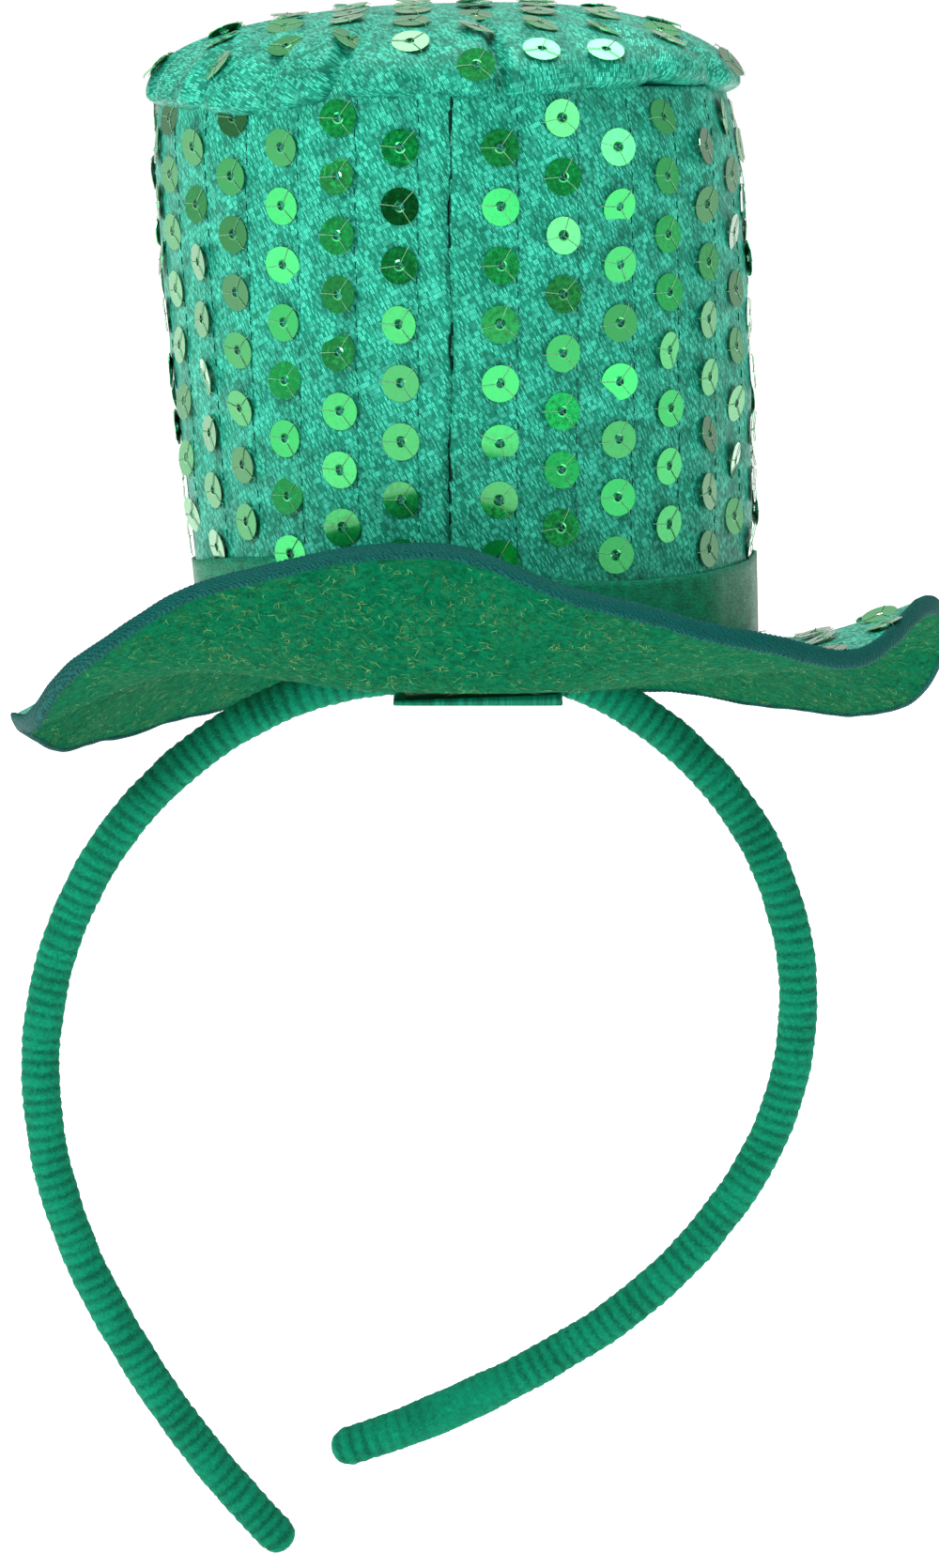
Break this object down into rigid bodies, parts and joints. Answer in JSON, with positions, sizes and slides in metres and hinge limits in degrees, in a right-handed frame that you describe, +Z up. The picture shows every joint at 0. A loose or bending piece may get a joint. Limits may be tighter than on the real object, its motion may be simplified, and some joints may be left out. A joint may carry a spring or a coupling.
{
  "type": "mini top hat headband",
  "caption": "Miniature sequinned satin top hat with a curled felt brim, glued to a springy plush-covered headband whose two legs flex open to hold a head.",
  "frame": {"origin": "middle of the fixing patch's flat underside, which rests on the top of the head", "axes": "+Z up along the hat and away from the head, +X to the right as seen from the front, -Y to the front where the brim turns up"},
  "size_m": [0.1558, 0.1506, 0.2604],
  "materials": {
    "satin": "glossy polyester satin",
    "felt": "needled felt with stray pale fibres",
    "edge_thread": "overlocked edge thread, blue-green",
    "ribbon": "glossy satin ribbon, finely ribbed",
    "seam_thread": "dark sewing thread",
    "sequin": "metallised film, mirror-like",
    "patch_satin": "satin strip",
    "plush": "ribbed velvet plush",
    "interlining": "stiff nonwoven",
    "wadding": "loose polyester fibre",
    "glue": "clear hot-melt glue",
    "core": "sprung plastic rod"
  },
  "bodies": {
    "root": {"brim_felt": "felt", "brim_satin": "satin", "brim_edge_thread": "edge_thread", "crown_side": "satin", "crown_interlining": "interlining", "crown_glue_ring": "glue", "crown_tip": "satin", "tip_interlining": "interlining", "tip_wadding": "wadding", "crown_seam_thread": "seam_thread", "tip_seam_thread": "seam_thread", "hat_ribbon": "ribbon", "sequins_side": "sequin", "sequins_tip": "sequin", "sequins_brim": "sequin", "fixing_patch": "patch_satin", "glue_bed": "glue", "band_core_centre": "core", "band_cover_centre": "plush"},
    "left_leg": {"band_core_left": "core", "band_cover_left": "plush"},
    "right_leg": {"band_core_right": "core", "band_cover_right": "plush"}
  },
  "joints": [
    {"name": "left_leg_flex", "type": "hinge", "parent": "root", "child": "left_leg", "pos_m": [-0.0529, 0, -0.01416], "axis": [0, 1, 0], "range_deg": [0, 22], "stiffness_Nm_per_rad": 0.3},
    {"name": "right_leg_flex", "type": "hinge", "parent": "root", "child": "right_leg", "pos_m": [0.03493, 0, -0.00859], "axis": [0, -1, 0], "range_deg": [0, 22], "stiffness_Nm_per_rad": 0.3}
  ]
}
